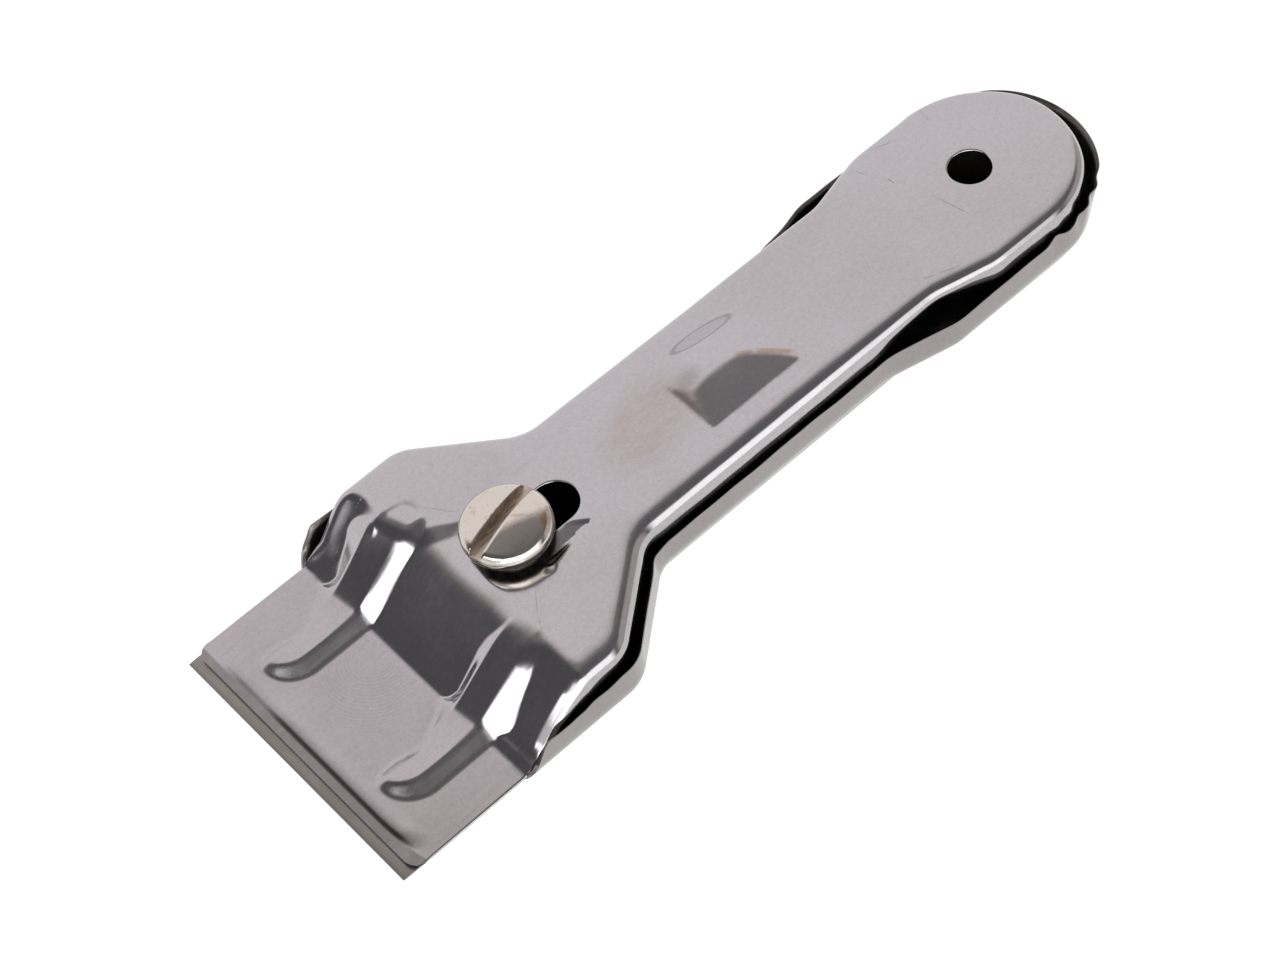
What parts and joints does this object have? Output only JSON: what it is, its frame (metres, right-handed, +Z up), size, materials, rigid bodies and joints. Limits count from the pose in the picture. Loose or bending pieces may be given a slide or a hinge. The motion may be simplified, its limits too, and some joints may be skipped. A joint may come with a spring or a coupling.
{
  "type": "hob scraper",
  "caption": "Pressed-steel hob scraper: a flanged tray and a ribbed sliding cover clamp a thin double-edged blade with one slotted screw.",
  "frame": {"origin": "on the surface the tool lies on, under the middle of its length and width", "axes": "+X towards the cutting edge, +Y to the tool's left, +Z up through the screw's head"},
  "size_m": [0.1332, 0.046, 0.0145],
  "materials": {
    "shell_steel": "bright pressed stainless sheet",
    "blade_steel": "matt ground carbon steel",
    "nickel": "nickel plate",
    "zinc": "dull plated steel"
  },
  "bodies": {
    "tray": {"bottom_shell": "shell_steel", "blade": "blade_steel", "square_nut": "zinc"},
    "cover": {"top_shell": "shell_steel"},
    "washer": {"washer": "nickel"},
    "screw": {"clamp_screw": "nickel"}
  },
  "joints": [
    {"name": "cover_slide", "type": "slide", "parent": "tray", "child": "cover", "axis": [1, 0, 0], "range_m": [0, 0.007]},
    {"name": "washer_lift", "type": "slide", "parent": "tray", "child": "washer", "axis": [0, 0, 1], "range_m": [0, 0.001]},
    {"name": "screw_turn", "type": "hinge", "parent": "washer", "child": "screw", "pos_m": [0.0298, 0, 0.0122], "axis": [0, 0, 1], "range_deg": [0, 360]}
  ],
  "couplings": [
    {"joint": "screw_turn", "follows": "washer_lift", "rad_per_m": 6283.2}
  ]
}
